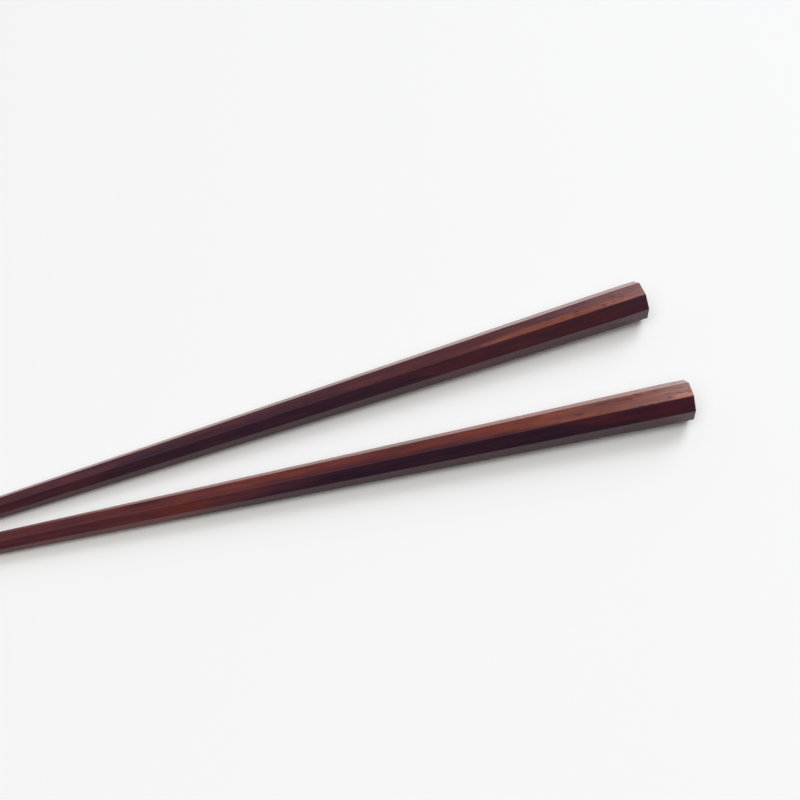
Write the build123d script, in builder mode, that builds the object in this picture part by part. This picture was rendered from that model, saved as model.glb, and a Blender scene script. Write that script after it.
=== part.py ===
from build123d import *
from math import atan, cos, degrees, pi, radians, sin, tan
import os

# A pair of wooden chopsticks. Each stick is one piece of wood with eight flat sides, which taper evenly from
# the butt to a small domed tip. The pair lies on a table in a narrow V: the tips are side by side and the
# butts are fanned apart. Each stick rests on one of its flats, as an eight-sided stick does.
#
# The frame: +X runs along the middle of the V from the tips to the butts, +Y is across it and +Z is up.
# The table is Z = 0, and the origin is under the middle of the pair. Sizes are in millimetres.

# One stick
stick_length = 205.0
butt_across_flats = 9.5
tip_across_flats = 3.5
side_count = 8
edge_round = 0.3  # sanded edge between two flats
butt_round = 0.2  # sanded rim of the butt's end face
tip_crown = 1.1  # length of the dome that ends the tip

# How the pair lies
fan_angle = 7.7  # between the two sticks, in degrees
tip_gap = 0.3  # between the two tips

# The flats draw in towards the stick's axis by this angle. On a stick that lies on one flat, the axis rises
# by the same angle towards the butt.
draw_in = atan((butt_across_flats - tip_across_flats) / 2 / stick_length)

# The dome meets the corners of the octagon where it ends, so it leaves no ledge on them.
dome_radius = (tip_across_flats / 2 + tip_crown * tan(draw_in)) / cos(pi / side_count)

# The first corner of the polygon stands half a side past the middle of the flat that faces the table.
flat_down = -90 - 180 / side_count

half_fan = radians(fan_angle / 2)
tip_spacing = tip_across_flats + tip_gap
pair_length = stick_length * cos(draw_in) * cos(half_fan) + butt_across_flats / 2 * sin(half_fan)

os.makedirs("parts", exist_ok=True)

for name, side in (("left_chopstick", 1), ("right_chopstick", -1)):
    # On the table under the tip, with x along the stick towards its butt
    table = Plane(
        origin=(-pair_length / 2, side * tip_spacing / 2, 0),
        x_dir=(cos(half_fan), side * sin(half_fan), 0),
    )
    # Through the stick's axis: the origin is the tip, x runs to the butt and z is square to the upper flat.
    raised = Plane(table.location * Rotation(Y=-degrees(draw_in)))
    lengthwise = raised.offset(tip_across_flats / 2)
    # Across the stick at the butt, facing the tip, with y upwards
    butt_end = Plane(
        origin=lengthwise.from_local_coords((stick_length, 0, 0)),
        x_dir=-lengthwise.y_dir,
        z_dir=-lengthwise.x_dir,
    )
    stick_axis = Axis(lengthwise.origin, lengthwise.x_dir)

    with BuildPart() as chopstick:
        # The eight-sided taper
        with BuildSketch(butt_end):
            RegularPolygon(butt_across_flats / 2, side_count, major_radius=False, rotation=flat_down)
        extrude(amount=stick_length)
        flats = chopstick.faces().filter_by(stick_axis, reverse=True)
        draft(flats, neutral_plane=butt_end, angle=degrees(draw_in))
        fillet(chopstick.edges().group_by(SortBy.LENGTH)[-1], radius=edge_round)

        # The tip is turned to a dome: this profile is what the turning takes away.
        with BuildSketch(lengthwise):
            with BuildLine():
                dome = TangentArc((0, 0), (tip_crown, dome_radius), tangent=(0, 1))
                Polyline(
                    dome @ 1,
                    (tip_crown, 2 * dome_radius),
                    (-tip_crown, 2 * dome_radius),
                    (-tip_crown, 0),
                    dome @ 0,
                )
            make_face()
        revolve(axis=stick_axis, mode=Mode.SUBTRACT)

        # The rim of the butt is sanded last.
        butt_face = chopstick.faces().sort_by(stick_axis)[-1]
        fillet(butt_face.edges(), radius=butt_round)

    chopstick.part.label = name
    export_step(chopstick.part, f"parts/{name}.step")
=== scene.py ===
from math import atan, cos, pi, radians, sin

import bpy
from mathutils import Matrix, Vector


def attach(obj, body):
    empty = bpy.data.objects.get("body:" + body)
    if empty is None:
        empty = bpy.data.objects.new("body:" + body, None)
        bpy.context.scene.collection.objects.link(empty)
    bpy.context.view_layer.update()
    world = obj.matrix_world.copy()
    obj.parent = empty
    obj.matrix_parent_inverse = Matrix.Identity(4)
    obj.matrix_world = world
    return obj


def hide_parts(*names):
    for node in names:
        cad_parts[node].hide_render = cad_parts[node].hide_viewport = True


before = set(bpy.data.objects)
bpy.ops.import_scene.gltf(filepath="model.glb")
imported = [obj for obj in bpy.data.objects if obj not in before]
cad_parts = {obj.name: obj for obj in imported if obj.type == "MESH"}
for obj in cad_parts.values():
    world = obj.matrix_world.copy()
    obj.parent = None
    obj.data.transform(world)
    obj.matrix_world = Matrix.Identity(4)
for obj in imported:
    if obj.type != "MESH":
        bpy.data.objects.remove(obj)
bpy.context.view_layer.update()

# A pair of eight-sided chopsticks of oiled rosewood, lying on a white table with their tips together.
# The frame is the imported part's: +X from the tips to the butts, +Y across the pair, +Z up, in metres.

MM = 0.001

# One stick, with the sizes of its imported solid
STICK_LENGTH = 205 * MM
BUTT_ACROSS_FLATS = 9.5 * MM
TIP_ACROSS_FLATS = 3.5 * MM
SIDES = 8
EDGE_ROUND = 0.3 * MM
BUTT_ROUND = 0.2 * MM
TIP_CROWN = 1.1 * MM

# What the hand finish leaves: edges that get finer towards the tip, low waves in the flats, and flats that a
# buff has rolled off at the butt
TIP_EDGE_ROUND = 0.1 * MM
UNEVENNESS = 0.04 * MM
WAVE_LENGTH = 45 * MM
WAVE_WIDTH = 7 * MM
BUFFED_DEPTH = 0.13 * MM
BUFFED_LENGTH = 9 * MM

# How the pair lies
FAN_ANGLE = radians(7.7)
TIP_GAP = 0.3 * MM

# Each flat leans in by this angle, and a stick on one flat rises by it towards the butt.
DRAW_IN = atan((BUTT_ACROSS_FLATS - TIP_ACROSS_FLATS) / 2 / STICK_LENGTH)

# Steps of the mesh: columns of one side, and rows of one stick from the middle of the butt to the tip
ARC_STEPS = 4
FLAT_STEPS = 6
FACE_ROWS = 8
RIM_ROWS = 5
BODY_ROWS = 150
DOME_ROWS = 9

# The wood's own place in the stick is kept under this name: from the tip, across and up from the axis.
GRAIN = "grain"

# The wood lies in layers that lean. A depth is measured square to them, to the front and downwards.
LAYER_LEAN = (0, -cos(radians(30)), -sin(radians(30)))

# The layers wander by two noises. Each has a length along the grain, a width across it, and a push along,
# across and up.
LAYER_WANDER = (
    (30 * MM, 3 * MM, (16 * MM, 1.4 * MM, 1.4 * MM)),
    (4 * MM, 0.45 * MM, (9 * MM, 0.9 * MM, 0.9 * MM)),
)

# Depths between which one colour shades into the next: at the front edge of the upper flat, on the butt's
# face, about the border of the heartwood and painted shade, and towards the darkest wood and painted shade
FRONT_EDGE = (-0.9 * MM, -0.4 * MM)
FACE_EDGE = (-4 * MM, 2 * MM)
HEART_AND_SHADE_EDGE = (-0.9 * MM, 0.9 * MM)
DARKEST_EDGE = (2.2 * MM, 4.2 * MM)
# The darkest wood, nearly black, which also serves as painted shade on the lower front flats
DARKEST_WOOD_AND_SHADE = "#22101f"

# Lengths along the grain and widths across it
MOTTLE_SIZE = (7 * MM, 1.3 * MM)
FIBRE_SIZE = (14 * MM, 0.5 * MM)
PORE_SIZE = (2.5 * MM, 0.45 * MM)
PORE_CROWD_SIZE = (14 * MM, 1.5 * MM)
PORE_COLOUR = "#3a262e"

# The growth rings on the butt's face turn round a pith outside the stick.
PITH_OFFSET = (0, 12 * MM, 7 * MM)
RING_SPACING = 0.9 * MM

# Roughness of the oiled flats, from one fibre to the next, and what the butt's face adds to it
SATIN_ROUGHNESS = (0.18, 0.24)
BUTT_ROUGHNESS = 0.2

# Most of the values that a noise gives lie between these.
NOISE_SPAN = (0.25, 0.75)


def linear(hex_colour):
    """A colour written as sRGB hex, in the linear values that a shader takes."""
    levels = [int(hex_colour[i : i + 2], 16) / 255 for i in (1, 3, 5)]
    return [v / 12.92 if v <= 0.04045 else ((v + 0.055) / 1.055) ** 2.4 for v in levels] + [1.0]


def add(tree, kind, inputs=(), **settings):
    """Adds a node and gives its first output. Inputs are values or sockets to link, by name or in order."""
    node = tree.nodes.new(kind)
    for name, value in settings.items():
        setattr(node, name, value)
    sockets = [socket for socket in node.inputs if socket.enabled]
    by_name = {socket.name: socket for socket in sockets}
    pairs = inputs.items() if isinstance(inputs, dict) else enumerate(inputs)
    for key, value in pairs:
        socket = by_name[key] if isinstance(key, str) else sockets[key]
        if isinstance(value, bpy.types.NodeSocket):
            tree.links.new(value, socket)
        else:
            socket.default_value = value
    outputs = [socket for socket in node.outputs if socket.enabled]
    return outputs[0] if outputs else None


# The shape of one stick


def stick_tree():
    """Geometry nodes that make one stick: rows from the butt to the tip, columns round the eight flats."""
    tree = bpy.data.node_groups.new("eight_sided_stick", "GeometryNodeTree")
    sockets = {
        "Length": "NodeSocketFloat",
        "Butt Across Flats": "NodeSocketFloat",
        "Tip Across Flats": "NodeSocketFloat",
        "Edge Round": "NodeSocketFloat",
        "Tip Edge Round": "NodeSocketFloat",
        "Butt Round": "NodeSocketFloat",
        "Tip Crown": "NodeSocketFloat",
        "Buffed Depth": "NodeSocketFloat",
        "Buffed Length": "NodeSocketFloat",
        "Unevenness": "NodeSocketFloat",
        "Seed": "NodeSocketFloat",
        "Turn": "NodeSocketRotation",
        "Tip Place": "NodeSocketVector",
        "Wood": "NodeSocketMaterial",
    }
    for name, kind in sockets.items():
        tree.interface.new_socket(name, in_out="INPUT", socket_type=kind)
    tree.interface.new_socket("Stick", in_out="OUTPUT", socket_type="NodeSocketGeometry")
    size = add(tree, "NodeGroupInput").node.outputs

    side_steps = ARC_STEPS + FLAT_STEPS
    columns = SIDES * side_steps
    rim_start = FACE_ROWS
    body_start = rim_start + RIM_ROWS
    dome_start = body_start + BODY_ROWS
    last_row = dome_start + DOME_ROWS
    half_side = pi / SIDES

    # A flat grid, one unit to a step, tells each point its row and column.
    grid = add(tree, "GeometryNodeMeshGrid", [last_row, columns, last_row + 1, columns + 1])
    place = add(tree, "GeometryNodeInputPosition")
    step = add(tree, "ShaderNodeVectorMath", [place, (last_row / 2, columns / 2, 0)], operation="ADD")
    step = add(tree, "ShaderNodeSeparateXYZ", [step]).node.outputs
    row = step["X"]
    column = step["Y"]

    # Along the stick: the butt's face, its sanded rim, the long taper and the dome of the tip
    face = add(tree, "ShaderNodeMapRange", [row, 0, rim_start], interpolation_type="SMOOTHERSTEP")
    rim = add(tree, "ShaderNodeMapRange", [row, rim_start, body_start, 0, pi / 2])
    body = add(tree, "ShaderNodeMapRange", [row, body_start, dome_start], interpolation_type="SMOOTHSTEP")
    dome = add(tree, "ShaderNodeMapRange", [row, dome_start, last_row, 0, pi / 2])
    rim_cos = add(tree, "ShaderNodeMath", [rim], operation="COSINE")
    rim_sin = add(tree, "ShaderNodeMath", [rim], operation="SINE")
    dome_cos = add(tree, "ShaderNodeMath", [dome], operation="COSINE")
    dome_sin = add(tree, "ShaderNodeMath", [dome], operation="SINE")
    rim_depth = add(tree, "ShaderNodeMath", [1, rim_cos], operation="SUBTRACT")
    ends = add(tree, "ShaderNodeMath", [size["Butt Round"], size["Tip Crown"]], operation="ADD")
    taper_length = add(tree, "ShaderNodeMath", [size["Length"], ends], operation="SUBTRACT")
    along = add(tree, "ShaderNodeMath", [rim_depth, size["Butt Round"]], operation="MULTIPLY")
    along = add(tree, "ShaderNodeMath", [body, taper_length, along], operation="MULTIPLY_ADD")
    along = add(tree, "ShaderNodeMath", [dome_sin, size["Tip Crown"], along], operation="MULTIPLY_ADD")

    # From the axis to a flat, less what the rim's sanding and the buff take off
    width = add(
        tree,
        "ShaderNodeMapRange",
        [along, 0, size["Length"], size["Butt Across Flats"], size["Tip Across Flats"]],
    )
    rim_loss = add(tree, "ShaderNodeMath", [rim_sin, 1], operation="SUBTRACT")
    rim_loss = add(tree, "ShaderNodeMath", [rim_loss, size["Butt Round"]], operation="MULTIPLY")
    reach = add(tree, "ShaderNodeMath", [width, 0.5, rim_loss], operation="MULTIPLY_ADD")
    buffed = add(tree, "ShaderNodeMapRange", [along, 0, size["Buffed Length"], 1, 0])
    buffed = add(tree, "ShaderNodeMath", [buffed, 2], operation="POWER")
    buffed = add(tree, "ShaderNodeMath", [buffed, size["Buffed Depth"]], operation="MULTIPLY")
    reach = add(tree, "ShaderNodeMath", [reach, buffed], operation="SUBTRACT")

    # The edges are rounded by a small radius. It shrinks with the stick, and grows over the dome until the
    # tip is round.
    edge = add(
        tree,
        "ShaderNodeMapRange",
        [along, 0, size["Length"], size["Edge Round"], size["Tip Edge Round"]],
    )
    edge = add(tree, "ShaderNodeMath", [edge, rim_loss], operation="ADD")
    edge = add(tree, "ShaderNodeMix", [dome_sin, edge, reach], data_type="FLOAT")
    core = add(tree, "ShaderNodeMath", [reach, edge], operation="SUBTRACT")
    core = add(tree, "ShaderNodeMath", [core, cos(half_side)], operation="DIVIDE")

    # Round the stick: each side is the arc of one edge and then a flat to the next edge.
    side = add(tree, "ShaderNodeMath", [column, side_steps], operation="DIVIDE")
    side = add(tree, "ShaderNodeMath", [side], operation="FLOOR")
    within = add(tree, "ShaderNodeMath", [side, -side_steps, column], operation="MULTIPLY_ADD")
    arc = add(tree, "ShaderNodeMapRange", [within, 0, ARC_STEPS, -half_side, half_side])
    flat = add(tree, "ShaderNodeMapRange", [within, ARC_STEPS, side_steps], interpolation_type="SMOOTHSTEP")
    corner_angle = add(tree, "ShaderNodeMath", [side, 2 * half_side, half_side], operation="MULTIPLY_ADD")
    next_angle = add(tree, "ShaderNodeMath", [corner_angle, 2 * half_side], operation="ADD")
    edge_angle = add(tree, "ShaderNodeMath", [corner_angle, arc], operation="ADD")
    core_arm = add(tree, "ShaderNodeCombineXYZ", {"Y": core})
    edge_arm = add(tree, "ShaderNodeCombineXYZ", {"Y": edge})
    arms = {corner_angle: core_arm, next_angle: core_arm, edge_angle: edge_arm}
    corner, next_corner, edge_out = [
        add(tree, "ShaderNodeVectorRotate", {"Vector": arm, "Angle": angle}, rotation_type="X_AXIS")
        for angle, arm in arms.items()
    ]
    section = add(tree, "ShaderNodeMix", [flat, corner, next_corner], data_type="VECTOR")
    section = add(tree, "ShaderNodeVectorMath", [section, edge_out], operation="ADD")
    shrink = add(tree, "ShaderNodeMath", [face, dome_cos], operation="MULTIPLY")
    section = add(tree, "ShaderNodeVectorMath", [section, shrink], operation="SCALE")
    from_tip = add(tree, "ShaderNodeMath", [size["Length"], along], operation="SUBTRACT")
    from_tip = add(tree, "ShaderNodeCombineXYZ", {"X": from_tip})
    spot = add(tree, "ShaderNodeVectorMath", [section, from_tip], operation="ADD")
    shape = add(tree, "GeometryNodeSetPosition", {"Geometry": grid, "Position": spot})
    shape = add(tree, "GeometryNodeMergeByDistance", {"Geometry": shape, "Distance": 0.001 * MM})

    # The wood's own place in the stick, kept before the stick is laid down: from the tip, across and up
    shape = add(
        tree,
        "GeometryNodeStoreNamedAttribute",
        {"Geometry": shape, "Name": GRAIN, "Value": place},
        data_type="FLOAT_VECTOR",
        domain="POINT",
    )

    # Planing by hand takes off a little more here and there, in long low waves.
    wave_scale = (1 / WAVE_LENGTH, 1 / WAVE_WIDTH, 1 / WAVE_WIDTH)
    wave = add(tree, "ShaderNodeVectorMath", [place, wave_scale], operation="MULTIPLY")
    wave = add(
        tree,
        "ShaderNodeTexNoise",
        {"Vector": wave, "W": size["Seed"], "Scale": 1, "Detail": 1},
        noise_dimensions="4D",
    )
    wave = add(tree, "ShaderNodeMath", [wave, 1], operation="SUBTRACT")
    wave = add(tree, "ShaderNodeMath", [wave, size["Unevenness"]], operation="MULTIPLY")
    push = add(tree, "ShaderNodeVectorMath", [add(tree, "GeometryNodeInputNormal"), wave], operation="SCALE")
    shape = add(tree, "GeometryNodeSetPosition", {"Geometry": shape, "Offset": push})

    shape = add(
        tree,
        "GeometryNodeTransform",
        {"Geometry": shape, "Translation": size["Tip Place"], "Rotation": size["Turn"]},
    )
    shape = add(tree, "GeometryNodeSetShadeSmooth", {"Geometry": shape})
    shape = add(tree, "GeometryNodeRealizeInstances", {"Geometry": shape})
    shape = add(tree, "GeometryNodeSetMaterial", {"Geometry": shape, "Material": size["Wood"]})
    add(tree, "NodeGroupOutput", {"Stick": shape})
    return tree


def made_piece(name, tree, values):
    """An object at the origin with the plain mesh that a geometry tree gives for these values."""
    piece = bpy.data.objects.new(name, bpy.data.meshes.new(name))
    bpy.context.scene.collection.objects.link(piece)
    shape = piece.modifiers.new("shape", "NODES")
    shape.node_group = tree
    for item in tree.interface.items_tree:
        if item.item_type == "SOCKET" and item.in_out == "INPUT":
            shape[item.identifier] = values[item.name]
    evaluated = piece.evaluated_get(bpy.context.evaluated_depsgraph_get())
    mesh = bpy.data.meshes.new_from_object(evaluated)
    piece.modifiers.remove(shape)
    piece.data = mesh
    mesh.name = name
    return piece


# The wood


def grain_noise(tree, place, length, width, detail):
    """Noise in flecks of about this length along the grain and this width across it."""
    scale = (1 / length, 1 / width, 1 / width)
    stretched = add(tree, "ShaderNodeMapping", {"Vector": place, "Scale": scale})
    return add(tree, "ShaderNodeTexNoise", {"Vector": stretched, "Scale": 1, "Detail": detail})


def streaked(tree, layer, wood, streaks):
    """The wood with streaks and spots of other colour. Most are the wood's own, where planing has cut a layer
    at a low angle; the paler ones on the back upper flat are painted reflection, and those at the butt partly
    painted sheen.

    A streak has its full strength in the inner half of its reach, and fades out at the end of it.
    """
    for colour, strength, centre, reach in streaks:
        from_tip = STICK_LENGTH - centre[0]
        offset = (-from_tip / reach[0], -centre[1] / reach[1], -centre[2] / reach[2])
        scale = (1 / reach[0], 1 / reach[1], 1 / reach[2])
        far = add(tree, "ShaderNodeMapping", {"Vector": layer, "Location": offset, "Scale": scale})
        far = add(tree, "ShaderNodeVectorMath", [far], operation="LENGTH")
        share = add(
            tree,
            "ShaderNodeMapRange",
            [far, 0.5, 1.05, strength, 0],
            interpolation_type="SMOOTHSTEP",
        )
        wood = add(tree, "ShaderNodeMix", [share, wood, linear(colour)], data_type="RGBA")
    return wood


def rosewood(name, board):
    """Rosewood, planed and oiled: red and dark layers, fine fibres, open pores and a satin gloss. The front
    flats are partly painted darker as shade, and the back upper flat and the butt partly painted paler as
    sheen and reflection.
    """
    material = bpy.data.materials.new(name)
    material.use_nodes = True
    tree = material.node_tree
    tree.nodes.clear()
    place = add(tree, "ShaderNodeAttribute", attribute_name=GRAIN).node.outputs["Vector"]
    own_place = add(tree, "ShaderNodeVectorMath", [place, board["offset"]], operation="ADD")

    # The layers wander in long waves, and finer flecks fray their edges.
    layer = place
    for length, width, push in LAYER_WANDER:
        wander = grain_noise(tree, own_place, length, width, 3).node.outputs["Color"]
        wander = add(tree, "ShaderNodeVectorMath", [wander, (0.5, 0.5, 0.5)], operation="SUBTRACT")
        layer = add(tree, "ShaderNodeVectorMath", [wander, push, layer], operation="MULTIPLY_ADD")
    layer_parts = add(tree, "ShaderNodeSeparateXYZ", [layer]).node.outputs
    from_butt = add(tree, "ShaderNodeMapRange", [layer_parts["X"], STICK_LENGTH, 0])

    # The colours along the upper flat, and those of the wood in front of it, which are darker partly by
    # painted shade on the front flats
    tones = {}
    for zone in ("top", "front"):
        tones[zone] = add(tree, "ShaderNodeValToRGB", [from_butt])
        elements = tones[zone].node.color_ramp.elements
        for i, (distance, colour) in enumerate(board[zone]):
            if i < 2:
                elements[i].position = distance / STICK_LENGTH
            else:
                elements.new(distance / STICK_LENGTH)
            elements[i].color = linear(colour)
    top = streaked(tree, layer, tones["top"], board["top_streaks"])
    depth = add(tree, "ShaderNodeVectorMath", [place, LAYER_LEAN], operation="DOT_PRODUCT")
    layer_depth = add(tree, "ShaderNodeVectorMath", [layer, LAYER_LEAN], operation="DOT_PRODUCT")
    front = add(tree, "ShaderNodeMapRange", [depth, *FRONT_EDGE], interpolation_type="SMOOTHSTEP")
    # On the butt's face, where the grain ends, the two shade into each other.
    from_tip = add(tree, "ShaderNodeSeparateXYZ", [place]).node.outputs["X"]
    butt_face = add(
        tree,
        "ShaderNodeMapRange",
        [from_tip, STICK_LENGTH - 0.15 * MM, STICK_LENGTH - 0.02 * MM],
    )
    face_front = add(
        tree,
        "ShaderNodeMapRange",
        [layer_depth, *FACE_EDGE],
        interpolation_type="SMOOTHSTEP",
    )
    front = add(tree, "ShaderNodeMix", [butt_face, front, face_front], data_type="FLOAT")
    wood = add(tree, "ShaderNodeMix", [front, top, tones["front"]], data_type="RGBA")

    # The dark heartwood, mixed with painted shade on the front flats, lies in front of a border that bows
    # along the stick.
    border = add(tree, "ShaderNodeFloatCurve", {"Value": from_butt})
    points = border.node.mapping.curves[0].points
    for i, (distance, at_depth) in enumerate(board["heart_and_shade_border"]):
        spot = (distance / STICK_LENGTH, at_depth / BUTT_ACROSS_FLATS + 0.5)
        if i < 2:
            points[i].location = spot
        else:
            points.new(*spot)
    for point in points:
        point.handle_type = "AUTO_CLAMPED"
    border.node.mapping.update()
    border = add(tree, "ShaderNodeMath", [border, 0.5], operation="SUBTRACT")
    past = add(tree, "ShaderNodeMath", [border, -BUTT_ACROSS_FLATS, layer_depth], operation="MULTIPLY_ADD")
    heart_and_shade = add(tree, "ShaderNodeMapRange", [past, *HEART_AND_SHADE_EDGE], interpolation_type="SMOOTHSTEP")
    wood = add(tree, "ShaderNodeMix", [heart_and_shade, wood, linear(board["heart_and_shade"])], data_type="RGBA")
    wood = streaked(tree, layer, wood, board["front_streaks"])

    # Deeper still, towards the front and bottom, it goes nearly black: the darkest wood and painted shade.
    deep = add(tree, "ShaderNodeMapRange", [layer_depth, *DARKEST_EDGE, 0, 0.6])
    wood = add(tree, "ShaderNodeMix", [deep, wood, linear(DARKEST_WOOD_AND_SHADE)], data_type="RGBA")

    # Mottling between purple and orange, and fine paler and darker fibres
    mottle = grain_noise(tree, own_place, *MOTTLE_SIZE, 4)
    mottle = add(tree, "ShaderNodeMapRange", [mottle, 0.35, 0.65])
    to_purple = (0.82, 0.92, 1.08, 1)
    to_orange = (1.18, 1.08, 0.92, 1)
    tint = add(tree, "ShaderNodeMix", [mottle, to_purple, to_orange], data_type="RGBA")
    wood = add(tree, "ShaderNodeVectorMath", [wood, tint], operation="MULTIPLY")
    fibre = grain_noise(tree, own_place, *FIBRE_SIZE, 3)
    fibre_tone = add(tree, "ShaderNodeMapRange", [fibre, *NOISE_SPAN, 0.82, 1.18])
    wood = add(tree, "ShaderNodeVectorMath", [wood, fibre_tone], operation="SCALE")

    # Pores: dark dashes up to 1.5 mm long, in crowds, more of them towards the butt. They are drawn about
    # twice as wide as real ones, so that they show.
    crowd = grain_noise(tree, own_place, *PORE_CROWD_SIZE, 1)
    crowd = add(tree, "ShaderNodeMapRange", [crowd, 0.42, 0.6, 0.2, 0.75])
    fade = add(
        tree,
        "ShaderNodeMapRange",
        [from_butt, 20 * MM / STICK_LENGTH, 50 * MM / STICK_LENGTH, 1, 0.5],
    )
    crowd = add(tree, "ShaderNodeMath", [crowd, fade], operation="MULTIPLY")
    frayed = add(
        tree,
        "ShaderNodeVectorMath",
        [wander, (3 * MM, 0.4 * MM, 0.4 * MM), own_place],
        operation="MULTIPLY_ADD",
    )
    pore_scale = (1 / PORE_SIZE[0], 1 / PORE_SIZE[1], 1 / PORE_SIZE[1])
    pore = add(tree, "ShaderNodeMapping", {"Vector": frayed, "Scale": pore_scale})
    pore = add(tree, "ShaderNodeTexVoronoi", {"Vector": pore, "Scale": 1})
    pore_mark = add(tree, "ShaderNodeSeparateXYZ", [pore.node.outputs["Color"]])
    pore_reach = add(tree, "ShaderNodeMath", [crowd, pore_mark], operation="MULTIPLY")
    pore = add(tree, "ShaderNodeMath", [pore, pore_reach], operation="DIVIDE")
    pore = add(tree, "ShaderNodeMapRange", [pore, 0.5, 1.1, 1, 0], interpolation_type="SMOOTHSTEP")
    pore_share = add(tree, "ShaderNodeMath", [pore, 0.6], operation="MULTIPLY")
    wood = add(tree, "ShaderNodeMix", [pore_share, wood, linear(PORE_COLOUR)], data_type="RGBA")

    # The butt's face shows growth rings. It is darker and less glossy, because the ends of the fibres drink
    # the oil.
    ring = add(tree, "ShaderNodeMapping", {"Vector": layer, "Location": PITH_OFFSET, "Scale": (0, 1, 1)})
    ring = add(tree, "ShaderNodeVectorMath", [ring], operation="LENGTH")
    ring = add(tree, "ShaderNodeMath", [ring, 2 * pi / RING_SPACING], operation="MULTIPLY")
    ring = add(tree, "ShaderNodeMath", [ring], operation="SINE")
    ring = add(tree, "ShaderNodeMapRange", [ring, -1, 1, 0.6, 0.8])
    face_tone = add(tree, "ShaderNodeMix", [butt_face, 1.0, ring], data_type="FLOAT")
    wood = add(tree, "ShaderNodeVectorMath", [wood, face_tone], operation="SCALE")
    rough = add(tree, "ShaderNodeMapRange", [fibre, *NOISE_SPAN, *SATIN_ROUGHNESS])
    rough = add(tree, "ShaderNodeMath", [butt_face, BUTT_ROUGHNESS, rough], operation="MULTIPLY_ADD")

    height = add(tree, "ShaderNodeMath", [pore, -0.5, fibre], operation="MULTIPLY_ADD")
    bump = add(tree, "ShaderNodeBump", {"Height": height, "Strength": 0.1, "Distance": 0.02 * MM})
    shader = add(
        tree,
        "ShaderNodeBsdfPrincipled",
        {
            "Base Color": wood,
            "Roughness": rough,
            "IOR": 1.5,
            "Normal": bump,
            "Specular Tint": linear("#dea8a6"),
            "Sheen Weight": 0.3,
            "Sheen Roughness": 0.3,
            "Sheen Tint": linear("#ffd4cc"),
        },
    )
    add(tree, "ShaderNodeOutputMaterial", {"Surface": shader})
    return material
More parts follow.
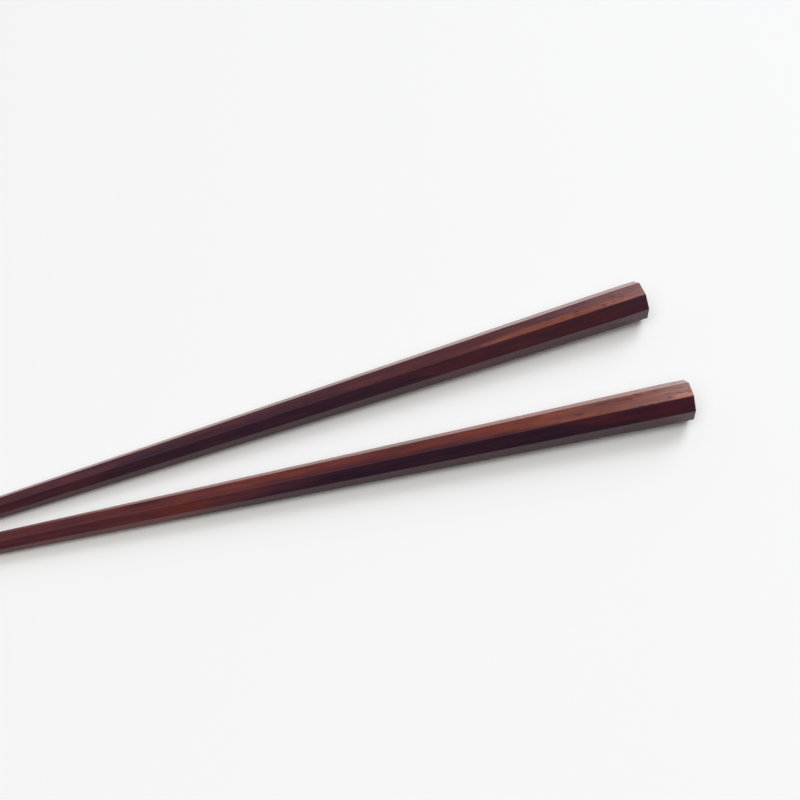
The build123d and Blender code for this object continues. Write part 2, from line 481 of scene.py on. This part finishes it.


# The two sticks are cut from different wood, so the offset gives each its own part of the noise. Distances
# are from the butt. The border of the heartwood and painted shade is a depth in the layers at each distance.
# A streak is its colour and strength, its middle (from the butt, across and up from the axis) and its reach
# each way.
BOARDS = {
    "left_chopstick": {
        "offset": (0.0, 0.0, 0.0),
        # Paler towards the butt, partly a painted sheen for the light mirrored near the butt
        "top": [
            (0, "#7d5653"),
            (10 * MM, "#6e4b4b"),
            (19 * MM, "#644243"),
            (30 * MM, "#59383a"),
            (42 * MM, "#553035"),
            (60 * MM, "#4d2c32"),
            (120 * MM, "#4f2e34"),
        ],
        "front": [
            (0, "#4b2931"),
            (150 * MM, "#492830"),
        ],
        "heart_and_shade": "#392430",
        "heart_and_shade_border": [
            (0, 4.7 * MM),
            (48 * MM, 4.7 * MM),
            (60 * MM, 1.5 * MM),
            (76 * MM, -0.6 * MM),
            (88 * MM, -1.4 * MM),
            (128 * MM, -1.4 * MM),
            (140 * MM, 1.2 * MM),
            (152 * MM, 4.7 * MM),
            (205 * MM, 4.7 * MM),
        ],
        "top_streaks": [
            ("#7b463a", 1.0, (20 * MM, -2.2 * MM, 4.5 * MM), (38 * MM, 2.5 * MM, 1.5 * MM)),
            # Paler at the butt on the front half of the upper flat: partly the wood's orange, partly a
            # painted sheen
            ("#895850", 0.9, (4 * MM, -1.2 * MM, 4.75 * MM), (13 * MM, 1.4 * MM, 1.2 * MM)),
            # This and the next are paler streaks on the back upper flat: painted reflection over the wood's
            # own colour
            ("#8f6459", 0.9, (40 * MM, 3.3 * MM, 2.9 * MM), (75 * MM, 1.5 * MM, 1.8 * MM)),
            ("#80524b", 0.8, (130 * MM, 2.4 * MM, 2.0 * MM), (60 * MM, 1.2 * MM, 1.5 * MM)),
            ("#572f34", 0.9, (72 * MM, -0.8 * MM, 3.8 * MM), (13 * MM, 0.9 * MM, 0.8 * MM)),
            ("#4a3034", 0.8, (3.2 * MM, 1.1 * MM, 4.7 * MM), (3.0 * MM, 0.3 * MM, 0.8 * MM)),
        ],
        "front_streaks": [
            # Darker at the butt end of the front upper flat
            ("#3f2b33", 0.9, (0, -2.6 * MM, 4.2 * MM), (14 * MM, 1.3 * MM, 0.9 * MM)),
        ],
    },
    "right_chopstick": {
        "offset": (0.5, 0.04, 0.07),
        # Paler towards the butt, partly a painted sheen for the light mirrored near the butt
        "top": [
            (0, "#926b66"),
            (5 * MM, "#805d57"),
            (11 * MM, "#82544d"),
            (20 * MM, "#75453d"),
            (41 * MM, "#703930"),
            (55 * MM, "#69342f"),
            (70 * MM, "#5f2f2d"),
            (92 * MM, "#63312f"),
            (110 * MM, "#673330"),
            (130 * MM, "#572c2e"),
        ],
        "front": [
            (0, "#44222c"),
            (12 * MM, "#44202a"),
            (50 * MM, "#44202a"),
            (85 * MM, "#3e2431"),
            (98 * MM, "#462732"),
            (110 * MM, "#522c32"),
            (120 * MM, "#5c2e30"),
            (150 * MM, "#532b30"),
        ],
        "heart_and_shade": "#301d2a",
        "heart_and_shade_border": [
            (0, 4.7 * MM),
            (8 * MM, 3.8 * MM),
            (14 * MM, 2.6 * MM),
            (22 * MM, 1.4 * MM),
            (36 * MM, -0.5 * MM),
            (50 * MM, -0.7 * MM),
            (74 * MM, -0.7 * MM),
            (84 * MM, 0.3 * MM),
            (94 * MM, 1.0 * MM),
            (108 * MM, 2.2 * MM),
            (124 * MM, 3.4 * MM),
            (142 * MM, 4.7 * MM),
            (205 * MM, 4.7 * MM),
        ],
        "top_streaks": [
            # Paler at the butt on the front half of the upper flat: partly the wood's red, partly a painted
            # sheen
            ("#ab6f5b", 1.0, (0, -1.6 * MM, 4.8 * MM), (8 * MM, 1.6 * MM, 1.5 * MM)),
            # This and the next two are paler streaks on the back upper flat: painted reflection over the
            # wood's own colour
            ("#a57f73", 0.9, (2 * MM, 3.5 * MM, 3.3 * MM), (13 * MM, 1.5 * MM, 1.6 * MM)),
            ("#934a40", 0.9, (40 * MM, 3.3 * MM, 2.9 * MM), (50 * MM, 1.5 * MM, 1.8 * MM)),
            ("#8f5f58", 0.9, (120 * MM, 2.5 * MM, 2.1 * MM), (75 * MM, 1.3 * MM, 1.6 * MM)),
            ("#4c252a", 0.8, (78 * MM, -1.35 * MM, 3.65 * MM), (48 * MM, 1.25 * MM, 1.6 * MM)),
            ("#46242d", 0.8, (131 * MM, 0.9 * MM, 2.9 * MM), (8 * MM, 0.8 * MM, 0.7 * MM)),
            ("#4c2f3b", 0.6, (18.5 * MM, 1.0 * MM, 4.45 * MM), (2.2 * MM, 0.5 * MM, 0.9 * MM)),
            ("#58343c", 0.5, (23 * MM, 0.95 * MM, 4.4 * MM), (3.4 * MM, 0.7 * MM, 0.9 * MM)),
            ("#5a3238", 0.7, (33 * MM, 1.5 * MM, 4.3 * MM), (2.2 * MM, 0.4 * MM, 0.9 * MM)),
        ],
        "front_streaks": [
            ("#653029", 0.7, (124 * MM, -2.0 * MM, 2.0 * MM), (9 * MM, 1.2 * MM, 1.2 * MM)),
        ],
    },
}

stick = stick_tree()
half_fan = FAN_ANGLE / 2
pair_length = STICK_LENGTH * cos(DRAW_IN) * cos(half_fan) + BUTT_ACROSS_FLATS / 2 * sin(half_fan)
tip_spacing = TIP_ACROSS_FLATS + TIP_GAP

for name, side in (("left_chopstick", 1), ("right_chopstick", -1)):
    along = Vector((cos(half_fan), side * sin(half_fan), 0))
    upright = Vector((0, 0, cos(DRAW_IN))) - along * sin(DRAW_IN)
    tip_place = Vector((-pair_length / 2, side * tip_spacing / 2, 0)) + upright * TIP_ACROSS_FLATS / 2
    piece = made_piece(
        f"{name}_wood",
        stick,
        {
            "Length": STICK_LENGTH,
            "Butt Across Flats": BUTT_ACROSS_FLATS,
            "Tip Across Flats": TIP_ACROSS_FLATS,
            "Edge Round": EDGE_ROUND,
            "Tip Edge Round": TIP_EDGE_ROUND,
            "Butt Round": BUTT_ROUND,
            "Tip Crown": TIP_CROWN,
            "Buffed Depth": BUFFED_DEPTH,
            "Buffed Length": BUFFED_LENGTH,
            "Unevenness": UNEVENNESS,
            "Seed": 2.0 + side,
            "Turn": (0, -DRAW_IN, side * half_fan),
            "Tip Place": tip_place,
            "Wood": rosewood(f"oiled_rosewood_{name}", BOARDS[name]),
        },
    )
    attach(piece, "root")
    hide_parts(name)

# The table, the light and the camera

TABLE_HALF = 6.0
TABLE_FADE = (0.2, 0.6)
BACKDROP = "#f7f7f7"
table_mesh = bpy.data.meshes.new("table")
corners = [(x * TABLE_HALF, y * TABLE_HALF, 0) for x, y in ((-1, -1), (1, -1), (1, 1), (-1, 1))]
table_mesh.from_pydata(corners, [], [(0, 1, 2, 3)])
table = bpy.data.objects.new("table", table_mesh)
bpy.context.scene.collection.objects.link(table)

# White matt table top, which shades off into the pale backdrop far from the pair
paint = bpy.data.materials.new("white_table")
paint.use_nodes = True
tree = paint.node_tree
tree.nodes.clear()
table_top = add(tree, "ShaderNodeBsdfDiffuse", {"Color": linear("#f8f8f8")})
far_table = add(tree, "ShaderNodeEmission", {"Color": linear(BACKDROP), "Strength": 1.0})
away = add(tree, "ShaderNodeNewGeometry").node.outputs["Position"]
away = add(tree, "ShaderNodeVectorMath", [away], operation="LENGTH")
away = add(tree, "ShaderNodeMapRange", [away, *TABLE_FADE], interpolation_type="SMOOTHSTEP")
ray = add(tree, "ShaderNodeLightPath").node.outputs
seen = add(tree, "ShaderNodeMath", [ray["Is Camera Ray"], ray["Is Glossy Ray"]], operation="MAXIMUM")
share = add(tree, "ShaderNodeMath", [away, seen], operation="MULTIPLY")
mixed = add(tree, "ShaderNodeMixShader", [share, table_top, far_table])
add(tree, "ShaderNodeOutputMaterial", {"Surface": mixed})
table_mesh.materials.append(paint)

# A dim room, paler on the far side, and the pale backdrop that the camera sees past the table
world = bpy.data.worlds.new("room")
bpy.context.scene.world = world
world.use_nodes = True
tree = world.node_tree
tree.nodes.clear()
toward = add(tree, "ShaderNodeTexCoord").node.outputs["Generated"]
toward = add(tree, "ShaderNodeSeparateXYZ", [toward]).node.outputs["Y"]
room_light = add(tree, "ShaderNodeMapRange", [toward, -0.2, 0.6, 0.03, 0.3])
room = add(tree, "ShaderNodeBackground", {"Color": (1, 1, 1, 1), "Strength": room_light})
backdrop = add(tree, "ShaderNodeBackground", {"Color": linear(BACKDROP), "Strength": 1.0})
seen = add(tree, "ShaderNodeLightPath").node.outputs["Is Camera Ray"]
mixed = add(tree, "ShaderNodeMixShader", [seen, room, backdrop])
add(tree, "ShaderNodeOutputWorld", {"Surface": mixed})


def soft_lamp(name, azimuth, height, distance, width, tall, power, colour):
    """A flat lamp that faces the pair, at an azimuth from +Y towards +X and a height above the table."""
    toward = Vector((sin(azimuth) * cos(height), cos(azimuth) * cos(height), sin(height)))
    lamp = bpy.data.lights.new(name, "AREA")
    lamp.shape = "RECTANGLE"
    lamp.size = width
    lamp.size_y = tall
    lamp.energy = power
    lamp.color = colour
    lit = bpy.data.objects.new(name, lamp)
    lit.location = toward * distance
    lit.rotation_mode = "QUATERNION"
    lit.rotation_quaternion = toward.to_track_quat("Z", "Y")
    bpy.context.scene.collection.objects.link(lit)


# A cool window from the far right and a warm ceiling from the near left, white together
soft_lamp(
    "window",
    azimuth=radians(57),
    height=radians(39),
    distance=2.0,
    width=1.0,
    tall=1.4,
    power=24.6,
    colour=(0.91, 0.93, 1.0),
)
soft_lamp(
    "ceiling",
    azimuth=radians(208),
    height=radians(71),
    distance=1.6,
    width=1.56,
    tall=1.56,
    power=18.9,
    colour=(1.0, 0.988, 0.945),
)

CAMERA_PLACE = Vector((-26.98, -200.35, 329.94)) * MM
CAMERA_AIM = Vector((36.612, 7.48, 0)) * MM
camera_data = bpy.data.cameras.new("camera")
camera_data.sensor_width = 36.0
camera_data.lens = 73.05
camera = bpy.data.objects.new("camera", camera_data)
camera.location = CAMERA_PLACE
camera.rotation_mode = "QUATERNION"
camera.rotation_quaternion = (CAMERA_AIM - CAMERA_PLACE).to_track_quat("-Z", "Y")
bpy.context.scene.collection.objects.link(camera)
bpy.context.scene.camera = camera
bpy.context.scene.view_settings.view_transform = "Standard"
